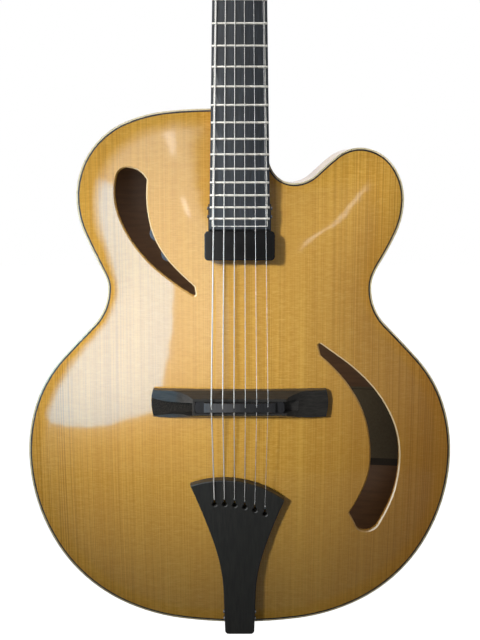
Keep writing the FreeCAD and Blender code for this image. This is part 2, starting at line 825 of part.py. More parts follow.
def truss_rod_nut():
    z = NUT_END + WIND_ROOM
    blank = prism_hex(ROD_NUT, V(0, ROD_AXIS, z), V(0, 0, 1), ROD_NUT_LONG)
    bore = rod(V(0, ROD_AXIS, z - 1), V(0, ROD_AXIS, z + ROD_NUT_LONG + 1), ROD_STUD / 2 + RUNNING)
    return placed(blank.cut(bore), NECK)


def truss_rod_cover():
    plate = stadium(0, COVER_LONG / 2 + 1, COVER_WIDE, COVER_LONG, COVER_WIDE / 4)
    cover = placed(slab(plate, -OVERLAY - COVER_THICK, -OVERLAY), HEAD)
    return cover.cut(headstock_screws())


def nut():
    half = BOARD_NUT_WIDE / 2
    blank = box(-half, half, -REACH / 10, BOARD_BACK, SCALE, NUT_END)
    blank = blank.common(crown_cylinder(FRET_TALL + ACTION_NUT, SCALE, NUT_END))
    return placed(blank, NECK).cut(string_slots())


# Tuners

@functools.cache
def post_places():
    """(x, z, side) of the string posts in the headstock's frame, from the lowest string to the highest."""
    places = []
    for number in range(6):
        side = -1 if number < 3 else 1
        row = number if number < 3 else 5 - number
        z = POST_FIRST + POST_STEP * row
        places.append((side * (head_half(z) - POST_EDGE), z, side))
    return places


def worm_place(z):
    return z + GEAR / 2 + WORM / 2 + WIND_ROOM


def tuner_axis_y():
    return HEAD_THICK + HOUSING_DEEP / 2


def tuner_housing(x, z, side):
    room = GEAR / 2 + WIND_ROOM
    low = z - room
    high = worm_place(z) + WORM / 2 + WIND_ROOM
    y0 = HEAD_THICK
    y1 = HEAD_THICK + HOUSING_DEEP
    wall = HOUSING_WALL
    case = box(x - room - wall, x + room + wall, y0, y1, low - wall, high + wall)
    back = [e for e in case.Edges if e.BoundBox.YMin > y1 - 0.01]
    case = case.makeFillet(wall, back)
    case = case.fuse(box(x - room, x + room, y0, y0 + wall, low - wall - HOUSING_TAB, low))
    case = case.cut(box(x - room, x + room, y0 + wall, y1 - wall, low, high))
    case = case.cut(rod(V(x, y0 - 1, z), V(x, y0 + wall + 1, z), POST / 2 + RUNNING))
    axis = V(x, tuner_axis_y(), worm_place(z))
    case = case.cut(rod(axis, axis + V(side * REACH, 0, 0), SHAFT / 2 + RUNNING))
    return placed(case, HEAD).cut(headstock_screws())


def tuner_bushing(x, z):
    face = -OVERLAY
    tube = rod(V(x, face, z), V(x, HEAD_THICK, z), BUSHING / 2)
    tube = tube.fuse(rod(V(x, face - BUSHING_THICK, z), V(x, face, z), BUSHING_FLANGE / 2))
    return placed(tube.cut(rod(V(x, -REACH, z), V(x, REACH, z), POST / 2 + RUNNING)), HEAD)


def string_post(x, z):
    y = tuner_axis_y()
    front = V(x, -OVERLAY - POST_PROUD, z)
    post = rod(front, V(x, y + GEAR_TALL / 2, z), POST / 2)
    rim = [e for e in post.Edges if e.BoundBox.YMax < front.y + 0.01]
    post = post.makeFillet(POST / 6, rim)
    gear = rod(V(x, y - GEAR_TALL / 2, z), V(x, y + GEAR_TALL / 2, z), GEAR / 2)
    return placed(post.fuse(gear), HEAD)


def tuner_button(x, z, side):
    axis = V(x, tuner_axis_y(), worm_place(z))
    way = V(side, 0, 0)
    worm = rod(axis - way * (WORM_LONG / 2), axis + way * (WORM_LONG / 2), WORM / 2)
    inner = head_half(axis.z) + BUTTON_GAP
    shaft = rod(axis, V(side * (inner + BUTTON_WIDE / 2), axis.y, axis.z), SHAFT / 2)
    x0, x1 = sorted((side * inner, side * (inner + BUTTON_WIDE)))
    grip = box(
        x0, x1, axis.y - BUTTON_THICK / 2, axis.y + BUTTON_THICK / 2,
        axis.z - BUTTON_LONG / 2, axis.z + BUTTON_LONG / 2,
    )
    grip = grip.makeFillet(BUTTON_THICK * 0.4, grip.Edges)
    return placed(worm.fuse(shaft).fuse(grip), HEAD)


def screw(point, way, head, shank, long, proud):
    """Round-headed screw whose head stands proud of a face at point; way points out of the face."""
    cap = rod(point, point + way * proud, head / 2)
    return cap.fuse(rod(point, point - way * long, shank / 2))


@functools.cache
def headstock_screws():
    front = V(0, -1, 0)
    back = V(0, 1, 0)
    sizes = (HEAD_SCREW_HEAD, HEAD_SCREW_SHANK, HEAD_SCREW_LONG, HEAD_SCREW_PROUD)
    x = COVER_WIDE / 2 - HEAD_SCREW_HEAD * 0.6
    y = -OVERLAY - COVER_THICK
    screws = [screw(V(side * x, y, COVER_LONG / 2), front, *sizes) for side in (-1, 1)]
    for px, pz, _ in post_places():
        z = pz - GEAR / 2 - WIND_ROOM - HOUSING_WALL - HOUSING_TAB / 2
        screws.append(screw(V(px, HEAD_THICK + HOUSING_WALL, z), back, *sizes))
    return placed(Part.makeCompound(screws), HEAD)


# Strings

def crown_drop(x):
    """How far the fingerboard's crown falls away at a distance from the middle."""
    return BOARD_RADIUS - math.sqrt(BOARD_RADIUS ** 2 - x * x)


def keyhole_place(number):
    share = number / 5
    z = KEYHOLE_LINE[0] + (KEYHOLE_LINE[1] - KEYHOLE_LINE[0]) * share
    return (number - 2.5) * KEYHOLE_SPACING, z + KEYHOLE_BOW * 4 * share * (1 - share)


def string_corners(number):
    """Ball end, tailpiece edge, saddle, nut and the point where the string meets its post."""
    radius = STRING_DIAMETERS[number] / 2
    key_x, key_z = keyhole_place(number)
    ball = TAIL.multVec(V(key_x, TAILPIECE_THICK - BALL / 2, key_z + BALL_RISE))
    rise = KEYHOLE_SLOT - radius - KEYHOLE_BREAK
    edge = TAIL.multVec(V(key_x, -radius - KEYHOLE_LIFT, key_z + rise))
    x = (number - 2.5) * SPACING_SADDLE
    saddle = NECK.multVec(V(x, crown_drop(x) - ACTION_SADDLE, 0))
    x = (number - 2.5) * SPACING_NUT
    at_nut = NECK.multVec(V(x, crown_drop(x) - ACTION_NUT, SCALE + NUT_THICK / 2))
    px, pz, side = post_places()[number]
    ring_radius = POST / 2 + WIND_ROOM + radius
    start = HEAD.inverse().multVec(at_nut)
    run = V(px - start.x, 0, pz - start.z)
    lean = math.asin(ring_radius / run.Length)
    way = math.atan2(run.z, run.x) + side * lean
    reach = math.sqrt(run.Length ** 2 - ring_radius ** 2)
    meet = V(start.x + reach * math.cos(way), -OVERLAY - WIND_HEIGHT, start.z + reach * math.sin(way))
    return [ball, edge, saddle, at_nut, HEAD.multVec(meet)]


def bent_path(points):
    """Straight runs joined by tangent arcs, the first of them tighter than the rest."""
    edges = []
    start = points[0]
    radii = [EDGE_BEND] + [STRING_BEND] * (len(points) - 3)
    for before, corner, after, radius in zip(points, points[1:], points[2:], radii):
        arrive = (corner - before).normalize()
        leave = (after - corner).normalize()
        turn = arrive.getAngle(leave)
        reach = radius * math.tan(turn / 2)
        first = corner - arrive * reach
        last = corner + leave * reach
        edges.append(Part.LineSegment(start, first).toShape())
        edges.append(tangent_arc(first, arrive, last))
        start = last
    edges.append(Part.LineSegment(start, points[-1]).toShape())
    return edges


def winding(number, arrive):
    """Turns of a string round its post, in quarter turns, from the point where it meets the post."""
    diameter = STRING_DIAMETERS[number]
    px, pz, side = post_places()[number]
    meet = HEAD.inverse().multVec(string_corners(number)[-1])
    radius = math.hypot(meet.x - px, meet.z - pz)
    angle = math.atan2(meet.z - pz, meet.x - px)
    climb = (diameter + WIND_GAP) / (2 * math.pi)
    points = []
    for quarter in range(4 * WIND_TURNS + 1):
        turn = quarter * math.pi / 2
        way = angle - side * turn
        place = V(px + radius * math.cos(way), meet.y + climb * turn, pz + radius * math.sin(way))
        along = V(side * radius * math.sin(way), climb, -side * radius * math.cos(way)).normalize()
        points.append((HEAD.multVec(place), HEAD.Rotation.multVec(along)))
    points[0] = (points[0][0], arrive)
    edges = []
    for (p, p_way), (q, q_way) in zip(points, points[1:]):
        edges += biarc(p, p_way, q, q_way)
    return edges


def tube(edges, radius):
    path = Part.Wire(edges)
    start = edges[0].valueAt(edges[0].FirstParameter)
    way = edges[0].tangentAt(edges[0].FirstParameter)
    section = Part.Wire([Part.Circle(start, way, radius).toShape()])
    return path.makePipeShell([section], True, False)


def string(number):
    radius = STRING_DIAMETERS[number] / 2
    corners = string_corners(number)
    arrive = (corners[-1] - corners[-2]).normalize()
    wire = tube(bent_path(corners) + winding(number, arrive), radius)
    return wire.fuse(Part.makeSphere(BALL / 2, corners[0]))


@functools.cache
def string_slots():
    """Room round every string where it crosses the nut and the saddle."""
    tubes = []
    for number, diameter in enumerate(STRING_DIAMETERS):
        corners = string_corners(number)
        tubes.append(tube(bent_path(corners), diameter / 2 + STRING_ROOM))
    return Part.makeCompound(tubes)


def print_winding_gaps():
    """Least gap of each winding to itself, measured on points."""
    for number, diameter in enumerate(STRING_DIAMETERS):
        corners = string_corners(number)
        arrive = (corners[-1] - corners[-2]).normalize()
        points = [edge.discretize(12) for edge in winding(number, arrive)]
        points = [p for run in points for p in run]
        turn = len(points) // (2 * WIND_TURNS)
        gap = min(
            p.distanceToPoint(q) for i, p in enumerate(points) for q in points[i + turn:]
        ) - diameter
        print("string", number + 1, "winding gap", round(gap, 2))


# Bridge

def bridge_base(outer):
    half = BRIDGE_LONG / 2
    top = BRIDGE_TOP_HALF
    root = BRIDGE_TOP_HALF + BRIDGE_SWEEP
    ways = [heading(angle) for angle in BRIDGE_SWEEP_WAYS]
    sweep = biarc(V(-root, 0, BRIDGE_WING), ways[0], V(-top, 0, BRIDGE_TALL), ways[1])
    mirrored = [e.mirror(V(0, 0, 0), V(1, 0, 0)) for e in sweep]
    edges = sweep + mirrored + [
        line(-half, 0, half, 0),
        line(half, 0, half, BRIDGE_END),
        line(half, BRIDGE_END, root, BRIDGE_WING),
        line(-top, BRIDGE_TALL, top, BRIDGE_TALL),
        line(-root, BRIDGE_WING, -half, BRIDGE_END),
        line(-half, BRIDGE_END, -half, 0),
    ]
    front = Part.Face(wire_of(edges))
    # The front view is drawn with height along z, so it is laid over to point forwards
    front.rotate(V(0, 0, 0), V(1, 0, 0), 90)
    front.translate(V(0, FACE_Y, SADDLE_Z - REACH / 2))
    block = front.extrude(V(0, 0, REACH))
    profile = [
        (BRIDGE_NORTH, 0), (BRIDGE_NORTH, BRIDGE_WING), (BRIDGE_TOP_NORTH, BRIDGE_TALL),
        (-BRIDGE_TOP_SOUTH, BRIDGE_TALL), (-BRIDGE_SOUTH, BRIDGE_WING), (-BRIDGE_SOUTH, 0),
    ]
    points = [V(-half, FACE_Y - height, SADDLE_Z + z) for z, height in profile]
    section = Part.Face(polygon(points)).extrude(V(BRIDGE_LONG, 0, 0))
    block = block.common(section).common(bridge_plan())
    return block.cut(outer).cut(saddle_mortise()).cut(bridge_shelf())


def bridge_plan():
    """Tall block with the bridge's outline seen from the front, its ends slightly bulged."""
    half = BRIDGE_LONG / 2 - BRIDGE_BULGE
    north = SADDLE_Z + BRIDGE_NORTH
    south = SADDLE_Z - BRIDGE_SOUTH
    middle = (north + south) / 2
    edges = [line(-half, north, half, north), line(-half, south, half, south)]
    for side in (-1, 1):
        end = (V(side * half, 0, north), V(side * BRIDGE_LONG / 2, 0, middle), V(side * half, 0, south))
        edges.append(Part.Arc(*end).toShape())
    return slab(wire_of(edges), FACE_Y - REACH, FACE_Y)


def bridge_shelf():
    north = [V(x, 0, SADDLE_Z + z) for x, z in SHELF_NORTH]
    south = [V(x, 0, SADDLE_Z + z) for x, z in SHELF_SOUTH]
    edges = [Part.Arc(*north).toShape(), Part.Arc(*south).toShape()]
    for end in (0, 2):
        edges.append(Part.LineSegment(north[end], south[end]).toShape())
    return slab(wire_of(edges), FACE_Y - REACH, FACE_Y - SHELF_HEIGHT)


def forward_edges(block):
    """Edges of a block that run straight forwards."""
    return [e for e in block.Edges if e.BoundBox.XLength < 0.01 and e.BoundBox.ZLength < 0.01]


def saddle_mortise():
    left = -SADDLE_LONG / 2 - MORTISE_ROOM
    right = SADDLE_LONG / 2 + MORTISE_SPARE
    middle = SADDLE_Z - SADDLE_SET_BACK
    half = SADDLE_WIDE / 2 + MORTISE_ROOM
    slot = box(left, right, FACE_Y - REACH, FACE_Y - SADDLE_SEAT, middle - half, middle + half)
    return slot.makeFillet(MORTISE_CORNER, forward_edges(slot))


def bridge_saddle():
    half = SADDLE_LONG / 2
    low = FACE_Y - SADDLE_SEAT
    step = FACE_Y - BRIDGE_TALL
    high = FACE_Y - FRET_LINE_HEIGHT - ACTION_SADDLE - SADDLE_WIDE
    north = SADDLE_Z - SADDLE_SET_BACK + SADDLE_WIDE / 2
    south = north - SADDLE_WIDE
    ridge = SADDLE_RIDGE / 2
    profile = [(north, low), (north, step), (SADDLE_Z + ridge, high), (SADDLE_Z - ridge, high)]
    profile += [(south, step), (south, low)]
    points = [V(-half, y, z) for z, y in profile]
    block = Part.Face(polygon(points)).extrude(V(SADDLE_LONG, 0, 0))
    crown = crown_cylinder(FRET_TALL + ACTION_SADDLE, -REACH / 2, REACH / 2)
    block = block.common(placed(crown, NECK))
    ends = SADDLE_RIDGE_LONG / 2
    for side in (-1, 1):
        x0, x1 = sorted((side * ends, side * REACH))
        block = block.cut(box(x0, x1, high - REACH, step, south - 1, north + 1))
    corners = [e for e in forward_edges(block) if abs(abs(e.CenterOfMass.x) - half) < 0.01]
    return block.makeFillet(SADDLE_CORNER, corners).cut(string_slots())


# Tailpiece

@functools.cache
def tailpiece_outline():
    stem = TAILPIECE_STEM / 2
    corner = TAILPIECE_CORNER
    left = TAILPIECE_LEFT_TIP
    right = TAILPIECE_RIGHT_TIP
    edges = [Part.Arc(*[V(x, 0, z) for x, z in (left, TAILPIECE_CREST, right)]).toShape()]
    top = stem + TAILPIECE_FLARE
    edges += chain([left + (TAILPIECE_LEFT_WAY,), (-top, TAILPIECE_STEM_TOP, 270)])
    edges += chain([right + (TAILPIECE_RIGHT_WAY,), (top, TAILPIECE_STEM_TOP, 270)])
    for side in (-1, 1):
        edges.append(line(side * top, TAILPIECE_STEM_TOP, side * stem, corner))
        start = V(side * stem, 0, corner)
        edges.append(tangent_arc(start, heading(270), V(side * (stem - corner), 0, 0)))
    edges.append(line(-stem + corner, 0, stem - corner, 0))
    return wire_of(edges)


def keyhole(number):
    """Countersunk hole with a slot above it, and a pocket for the ball end behind the slot."""
    x, z = keyhole_place(number)
    radius = KEYHOLE / 2
    hole = rod(V(x, -REACH, z), V(x, REACH, z), radius)
    sink = Part.makeCone(radius + KEYHOLE_SINK, radius, KEYHOLE_SINK, V(x, 0, z), V(0, 1, 0))
    half = KEYHOLE_SLOT_WIDE / 2
    slot = box(x - half, x + half, -REACH, REACH, z, z + KEYHOLE_SLOT)
    room = BALL / 2 + BALL_ROOM
    ball_z = z + BALL_RISE
    pocket = rod(V(x, TAILPIECE_THICK - BALL / 2 - room, ball_z), V(x, REACH, ball_z), room)
    return hole.fuse([sink, slot, pocket])


def tailpiece():
    plate = slab(tailpiece_outline(), 0, TAILPIECE_THICK)
    front = [e for e in plate.Edges if e.BoundBox.YMax < 0.01]
    plate = plate.makeFillet(TAILPIECE_ROUND, front)
    for number in range(6):
        plate = plate.cut(keyhole(number))
    return placed(plate, TAIL).cut(tailpiece_screws())


@functools.cache
def tailpiece_screws():
    sizes = (SIDE_SCREW_HEAD, SIDE_SCREW_SHANK, SIDE_SCREW_LONG, SIDE_SCREW_PROUD)
    screws = []
    for side in (-1, 1):
        for z in SIDE_SCREWS:
            rise = TAILPIECE_OVERHANG + z
            lean = (rise - TAILPIECE_CORNER) / (TAILPIECE_STEM_TOP - TAILPIECE_CORNER)
            x = TAILPIECE_STEM / 2 + TAILPIECE_FLARE * lean
            screws.append(screw(V(side * x, TAILPIECE_THICK / 2, rise), V(side, 0, 0), *sizes))
    return placed(Part.makeCompound(screws), TAIL)


def tail_bracket():
    """Strap under the tailpiece that folds down over the tail to the end pin jack."""
    half = BRACKET_WIDE / 2
    under = TAILPIECE_THICK
    strap = box(-half, half, under, under + BRACKET_THICK, 0, TAILPIECE_OVERHANG + BRACKET_LONG)
    strap = placed(strap, TAIL)
    strap = strap.cut(box(-REACH, REACH, -REACH, REACH, -REACH, TAIL_Z - BRACKET_THICK))
    top = strap.BoundBox.YMin + BRACKET_THICK
    fold = box(-half, half, top, half, TAIL_Z - BRACKET_THICK, TAIL_Z)
    wood = placed(slab(tailpiece_outline(), -REACH, TAILPIECE_THICK), TAIL)
    return strap.fuse(fold).cut(wood).cut(jack_hole())


# Pickup, in the neck's frame

def pickup_wire(edge):
    z = BOARD_END - PICKUP_GAP - PICKUP_LONG / 2
    return stadium(0, z, PICKUP_WIDE - 2 * edge, PICKUP_LONG - 2 * edge, PICKUP_CORNER - edge)


def pickup_cover():
    low = PICKUP_DROP + PICKUP_TALL
    shell = slab(pickup_wire(0), PICKUP_DROP, low)
    front = [e for e in shell.Edges if e.BoundBox.YMax < PICKUP_DROP + 0.01]
    shell = shell.makeFillet(PICKUP_WALL, front)
    return placed(shell.cut(slab(pickup_wire(PICKUP_WALL), PICKUP_DROP + PICKUP_WALL, low)), NECK)


def arm_x():
    return half_width(BOARD_END) + RUNNING


def pickup_base():
    low = PICKUP_DROP + PICKUP_TALL
    outer = arm_x() + ARM_THICK
    edge = BOARD_END - PICKUP_GAP
    base = slab(pickup_wire(0), low, low + PICKUP_BASE)
    base = base.fuse(box(-outer, outer, low, low + PICKUP_BASE, edge - PICKUP_GAP, edge + PICKUP_GAP * 2))
    for side in (-1, 1):
        x0, x1 = sorted((side * arm_x(), side * outer))
        top = BOARD_END + ARM_LONG
        base = base.fuse(box(x0, x1, BOARD_FACE + FRET_WIDE, low + PICKUP_BASE, edge + RUNNING, top))
    return placed(base.cut(arm_screws()), NECK)


@functools.cache
def arm_screws():
    sizes = (ARM_SCREW_HEAD, ARM_SCREW_SHANK, ARM_SCREW_LONG, ARM_SCREW_PROUD)
    y = BOARD_FACE + BOARD_THICK * 0.55
    screws = []
    for side in (-1, 1):
        for z in ARM_SCREWS:
            point = V(side * (arm_x() + ARM_THICK), y, BOARD_END + z)
            screws.append(screw(point, V(side, 0, 0), *sizes))
    return Part.makeCompound(screws)


def pickup_coils():
    low = PICKUP_DROP + PICKUP_TALL
    z = BOARD_END - PICKUP_GAP - PICKUP_LONG / 2
    coils = []
    for side in (-1, 1):
        middle = z + side * (COIL_LONG + WIND_GAP) / 2
        coils.append(slab(stadium(0, middle, COIL_WIDE, COIL_LONG, COIL_LONG * 0.45), low - COIL_TALL, low))
    return placed(Part.makeCompound(coils), NECK)


# Controls

def wheel_point(number, height):
    x, z = WHEELS[number]
    return V(x, FACE_Y - height, JOINT_Z - z)


def thumb_wheel(number):
    back = wheel_point(number, WHEEL_HEIGHT)
    front = wheel_point(number, WHEEL_HEIGHT + WHEEL_THICK)
    disc = rod(back, front, WHEEL_RADIUS)
    disc = disc.makeFillet(WHEEL_THICK / 5, disc.Edges[:1] + disc.Edges[2:])
    deep = wheel_point(number, WHEEL_HEIGHT - POT_GAP - POT_TALL * 0.8)
    return disc.fuse(rod(back, deep, WHEEL_SHAFT / 2))


def control_pots():
    pots = []
    for number in range(2):
        front = wheel_point(number, WHEEL_HEIGHT - POT_GAP)
        back = wheel_point(number, WHEEL_HEIGHT - POT_GAP - POT_TALL)
        deep = wheel_point(number, WHEEL_HEIGHT - POT_GAP - POT_TALL * 0.9)
        pots.append(rod(back, front, POT / 2).cut(rod(front, deep, WHEEL_SHAFT / 2 + RUNNING)))
    return Part.makeCompound(pots)


def control_board(grid):
    """Strip that carries both potentiometers, on two pillars glued under the top."""
    height = WHEEL_HEIGHT - POT_GAP - POT_TALL
    first = wheel_point(0, height)
    last = wheel_point(1, height)
    along = (last - first).normalize()
    across = V(-along.z, 0, along.x)
    first = first - along * CONTROL_PILLAR_OUT + across * CONTROL_SHIFT
    last = last + along * CONTROL_PILLAR_OUT + across * CONTROL_SHIFT
    half = POT / 2
    ends = [first - along * CONTROL_PILLAR, last + along * CONTROL_PILLAR]
    corners = [end + across * side for end, side in zip(ends + ends[::-1], (-half, -half, half, half))]
    board = Part.Face(polygon(corners)).extrude(V(0, CONTROL_BOARD, 0))
    under = inner_arch(grid, -1, TOP_ARCH)
    for foot in (first, last):
        board = board.fuse(rod(foot, foot + V(0, -REACH / 2, 0), CONTROL_PILLAR / 2).common(under))
    return board


# End pin jack and strap button

def jack_end():
    return TAIL_Z + RIM_THICK + TAIL_BLOCK_THICK + JACK_NUT_THICK * 2


@functools.cache
def jack_hole():
    return rod(V(0, 0, TAIL_Z - REACH), V(0, 0, jack_end()), JACK_BARREL / 2)


def end_pin_jack():
    seat = TAIL_Z - BRACKET_THICK
    body = rod(V(0, 0, 0), V(0, 0, jack_end()), JACK_BARREL / 2)
    body = body.fuse(rod(V(0, 0, 0), V(0, 0, JACK_FLANGE_THICK), JACK_FLANGE / 2))
    body = body.fuse(rod(V(0, 0, 0), V(0, 0, seat), JACK_NECK / 2))
    return body.cut(rod(V(0, 0, 0), V(0, 0, JACK_BORE_DEEP), JACK_BORE / 2))


def prism_hex(flats, point, axis, long):
    """Hexagonal bar along axis."""
    radius = flats / math.sqrt(3)
    side = axis.cross(V(1, 0, 0)).normalize()
    turn = FreeCAD.Rotation(axis, 60)
    corners = [side * radius]
    for _ in range(5):
        corners.append(turn.multVec(corners[-1]))
    return Part.Face(polygon([point + c for c in corners])).extrude(axis * long)


def jack_nut():
    z = TAIL_Z + RIM_THICK + TAIL_BLOCK_THICK
    return prism_hex(JACK_NUT_FLATS, V(0, 0, z), V(0, 0, 1), JACK_NUT_THICK).cut(jack_hole())


def strap_point(y):
    return V(0, y, JOINT_Z + HEEL_TIP_LONG / 2)


def strap_screw(y):
    return rod(strap_point(y - STRAP_SCREW_LONG), strap_point(y + 1), STRAP_SCREW / 2)


def strap_button():
    y = BACK_Y + PLATE_EDGE
    neck_part = rod(strap_point(y), strap_point(y + STRAP_BUTTON_TALL), STRAP_BUTTON_NECK / 2)
    rim_thick = STRAP_BUTTON_TALL / 4
    for start in (y, y + STRAP_BUTTON_TALL - rim_thick):
        neck_part = neck_part.fuse(rod(strap_point(start), strap_point(start + rim_thick), STRAP_BUTTON / 2))
    return neck_part.fuse(rod(strap_point(y - STRAP_SCREW_LONG), strap_point(y), STRAP_SCREW / 2))


# Assembly

def assembly():
    outline = body_outline()
    grid = sheet(outline)
    upper_hole = sound_hole(from_joint(UPPER_HOLE_OUTER), from_joint(UPPER_HOLE_INNER))
    lower_hole = sound_hole(LOWER_HOLE_OUTER, LOWER_HOLE_INNER)
    bass, treble = rims(outline)
    face = FACE_Y - PLATE_EDGE
    back = BACK_Y + PLATE_EDGE
    pieces = {
        "top_plate": top_plate(outline, grid, (upper_hole, lower_hole)),
        "back_plate": carved_plate(outline, grid, 1, BACK_ARCH),
        "rim_bass": bass,
        "rim_treble": treble,
        "top_binding": ring(outline, 0, BINDING, face, FACE_Y),
        "top_purfling": purfling_ring(outline),
        "back_binding": ring(outline, 0, BINDING, BACK_Y, back),
        "top_lining": lining(outline, FACE_Y, FACE_Y + LINING_TALL),
        "back_lining": lining(outline, BACK_Y - LINING_TALL, BACK_Y),
        "neck_block": neck_block(outline),
        "tail_block": tail_block(outline),
        "tone_bars": tone_bars(grid),
        "label": label(grid, lower_hole),
        "neck": neck(grid),
        "heel_cap": heel_cap(),
        "fingerboard": fingerboard(),
        "fingerboard_inlay": placed(board_blank().common(inlay_room()), NECK),
        "frets": frets(),
        "nut": nut(),
        "truss_rod": truss_rod(),
        "truss_rod_nut": truss_rod_nut(),
        "truss_rod_cover": truss_rod_cover(),
        "headstock_overlay": headstock_overlay(),
        "headstock_screws": headstock_screws(),
        "strap_button": strap_button(),
        "bridge_base": bridge_base(outer_arch(grid, -1, TOP_ARCH)),
        "bridge_saddle": bridge_saddle(),
        "tailpiece": tailpiece(),
        "tailpiece_screws": tailpiece_screws(),
        "tail_bracket": tail_bracket(),
        "pickup_cover": pickup_cover(),
        "pickup_base": pickup_base(),
        "pickup_coils": pickup_coils(),
        "pickup_screws": placed(arm_screws(), NECK),
        "volume_wheel": thumb_wheel(0),
        "tone_wheel": thumb_wheel(1),
        "control_pots": control_pots(),
        "control_board": control_board(grid),
        "end_pin_jack": end_pin_jack(),
        "jack_nut": jack_nut(),
        "tuner_housings": Part.makeCompound([tuner_housing(x, z, side) for x, z, side in post_places()]),
        "tuner_bushings": Part.makeCompound([tuner_bushing(x, z) for x, z, _ in post_places()]),
    }
    for number, (x, z, side) in enumerate(post_places()):
        pieces[f"string_post_{6 - number}"] = string_post(x, z)
        pieces[f"tuner_button_{6 - number}"] = tuner_button(x, z, side)
        pieces[f"string_{6 - number}"] = string(number)
    return pieces


def main():
    os.makedirs("parts", exist_ok=True)
    for name, shape in assembly().items():
        shape.exportStep(f"parts/{name}.step")
        print(name, len(shape.Solids), round(shape.Volume), shape.isValid())
    print_winding_gaps()


main()
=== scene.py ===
import json
import math

import bpy
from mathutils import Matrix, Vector

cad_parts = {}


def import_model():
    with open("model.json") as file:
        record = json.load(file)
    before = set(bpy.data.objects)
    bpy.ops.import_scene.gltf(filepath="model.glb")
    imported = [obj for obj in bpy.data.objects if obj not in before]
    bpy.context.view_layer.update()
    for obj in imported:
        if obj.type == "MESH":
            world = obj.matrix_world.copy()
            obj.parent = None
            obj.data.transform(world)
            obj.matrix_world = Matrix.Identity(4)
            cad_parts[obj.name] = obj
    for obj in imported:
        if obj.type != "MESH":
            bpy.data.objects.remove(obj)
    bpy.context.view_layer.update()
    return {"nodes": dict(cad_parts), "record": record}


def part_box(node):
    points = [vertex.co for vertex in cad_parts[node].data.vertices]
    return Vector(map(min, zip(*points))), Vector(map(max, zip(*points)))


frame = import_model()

# Camera, as the photograph was taken
CAMERA_PLACE = (0.0003, -0.8985, 0.49815)
CAMERA_TILT = math.radians(79.8635)
CAMERA_LENS = 48.77
CAMERA_SENSOR = 36.0

# Floor, in metres, and what the camera sees of it near the object, where 1 is white
FLOOR_LEVEL = -0.30
FLOOR_REACH = 6.0
FLOOR_FRONT = -1.2
FLOOR_NEAR = 0.38
FLOOR_FAR = 0.54
FLOOR_SHADE = 0.75
FLOOR_COLOUR = (150, 150, 149)

# Colour of the room and of every lamp but the key
WHITE = (1.0, 1.0, 1.0)

# Room: brightness, and the parts of a direction between which it changes
BACKDROP_WAY = (0.2, 0.6)
ROOM_LOW = 0.025
ROOM_HIGH = 0.18
ROOM_HIGH_WAY = (0.0, 0.6)
ROOM_BEHIND = 0.8
ROOM_BEHIND_WAY = (0.1, 0.6)

# The same room as it shows in shiny faces
GLOSS_LOW = 0.12
GLOSS_RIGHT = 0.22
GLOSS_LEFT = 2.4
GLOSS_ACROSS = (-0.068, -0.018)
GLOSS_UP = (-0.34, -0.06)

# Key, the lamp that shows as the pale patch in the lacquer, by its lower right corner
KEY_CORNER = (-0.243, -0.72, 0.1)
KEY_WIDE = 0.32
KEY_TALL = 0.41
KEY_ROLL = math.radians(10)
KEY_BRIGHTNESS = 5.3
KEY_COLOUR = (0.1, 0.6, 1.0)

# Flat lamps: place, width, height, brightness
WINDOW = ((-1.0, 0.0, 0.45), 1.2, 1.2, 1.5)
INSIDE = ((0.0, -0.012, 0.275), 0.28, 0.4, 0.5)
GLINTS = (
    ((0.338, -1.2, 0.507), 0.04, 0.018, 4.0),
    ((-0.20, -1.2, 0.75), 0.04, 0.025, 4.0),
    ((-0.18, -1.2, 0.565), 0.03, 0.06, 4.0),
)

# Pools of light: place, target, cone in degrees, radius of the lamp, brightness of white one metre away
POOLS = (
    ((-0.95, -1.35, 0.90), (-0.075, -0.05, 0.345), 12.6, 0.21, 7.6),
    ((-0.50, -1.30, 1.05), (0.0, -0.05, 0.66), 14.0, 0.15, 1.2),
    ((0.292, -0.211, 0.751), (0.14, -0.05, 0.497), 20.0, 0.05, 0.13),
)

# Wood grain: how fine the pores lie along x, y and z
ALONG_NECK = (520, 520, 26)
ALONG_BRIDGE = (26, 520, 520)

# Spruce: where the lacquer thins, in height over the edge, where the grain widens, and where the painted
# shade on the lower treble side starts and ends, in metres
EDGE_RISES = (0.0003, 0.001)
WIDE_GRAIN = (0.06, 0.19)
SHADE_ACROSS = (0.06, 0.19)
SHADE_UP = (0.46, 0.38)

# Bevels of the sound holes, pale with a painted highlight: how far their faces turn to the front and to
# the left
BEVEL_FRONT = (-0.9, -0.85)
BEVEL_SIDE = (-0.3, -0.4)
BEVEL_LEFT = (0.1, -0.3)

# Flat on the bass wing of the bridge: its level, half the band around it, and its inner end
SHELF_LEVEL = -0.058
SHELF_BAND = (0.0004, 0.0002)
SHELF_END = (-0.045, -0.046)

# Label: inset of its frame, half the width of that line, height of its foot, softness of the foot's edge
LABEL_FRAME = 0.0025
LABEL_LINE = (0.0006, 0.0003)
LABEL_FOOT = 0.0085
LABEL_SOFT = 0.0005

# Finishes
MAPLE_LACQUER = 0.7
BRIDGE_POLISH = 0.3
SAWN_ROUGHNESS = 0.8
MOTTLE = 400


